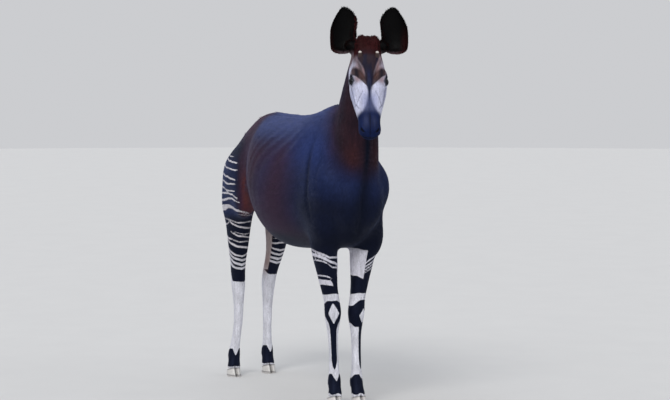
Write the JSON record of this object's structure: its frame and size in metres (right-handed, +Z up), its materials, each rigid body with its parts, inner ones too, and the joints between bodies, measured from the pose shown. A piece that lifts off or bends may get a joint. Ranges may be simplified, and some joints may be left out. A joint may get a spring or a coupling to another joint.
{
  "type": "okapi",
  "caption": "Life-size still okapi standing on all fours with its head turned, a museum-style display model with cloven hooves that rest flat on the floor.",
  "frame": {"origin": "on the floor, under the middle of the animal's bounding box", "axes": "+Z up, the okapi's body faces -Y, its left side is +X"},
  "size_m": [0.5397, 1.7598, 1.9565],
  "materials": {
    "hide": "short velvety chocolate coat with a bluish sheen, white stripes on the haunch",
    "neck_hide": "short maroon brown coat",
    "face_hide": "short pale hair on the cheeks, brown brow, dark muzzle",
    "leg_hide": "short hair, dark and white bands",
    "ear_hide": "short dark brown hair",
    "eye": "wet, near black, with a blue gleam",
    "bare_horn": "skin covered, pale blunt tip",
    "hoof_horn": "ridged grey brown horn"
  },
  "bodies": {
    "root": {"trunk": "hide", "neck": "neck_hide", "head": "face_hide", "tail": "hide", "foreleg_L": "leg_hide", "foreleg_R": "leg_hide", "hindleg_L": "leg_hide", "hindleg_R": "leg_hide", "ear_L": "ear_hide", "ear_R": "ear_hide", "eye_L": "eye", "eye_R": "eye", "ossicone_L": "bare_horn", "ossicone_R": "bare_horn", "hoof_foreleg_L_left": "hoof_horn", "hoof_foreleg_L_right": "hoof_horn", "hoof_foreleg_R_left": "hoof_horn", "hoof_foreleg_R_right": "hoof_horn", "hoof_hindleg_L_left": "hoof_horn", "hoof_hindleg_L_right": "hoof_horn", "hoof_hindleg_R_left": "hoof_horn", "hoof_hindleg_R_right": "hoof_horn"}
  },
  "joints": []
}
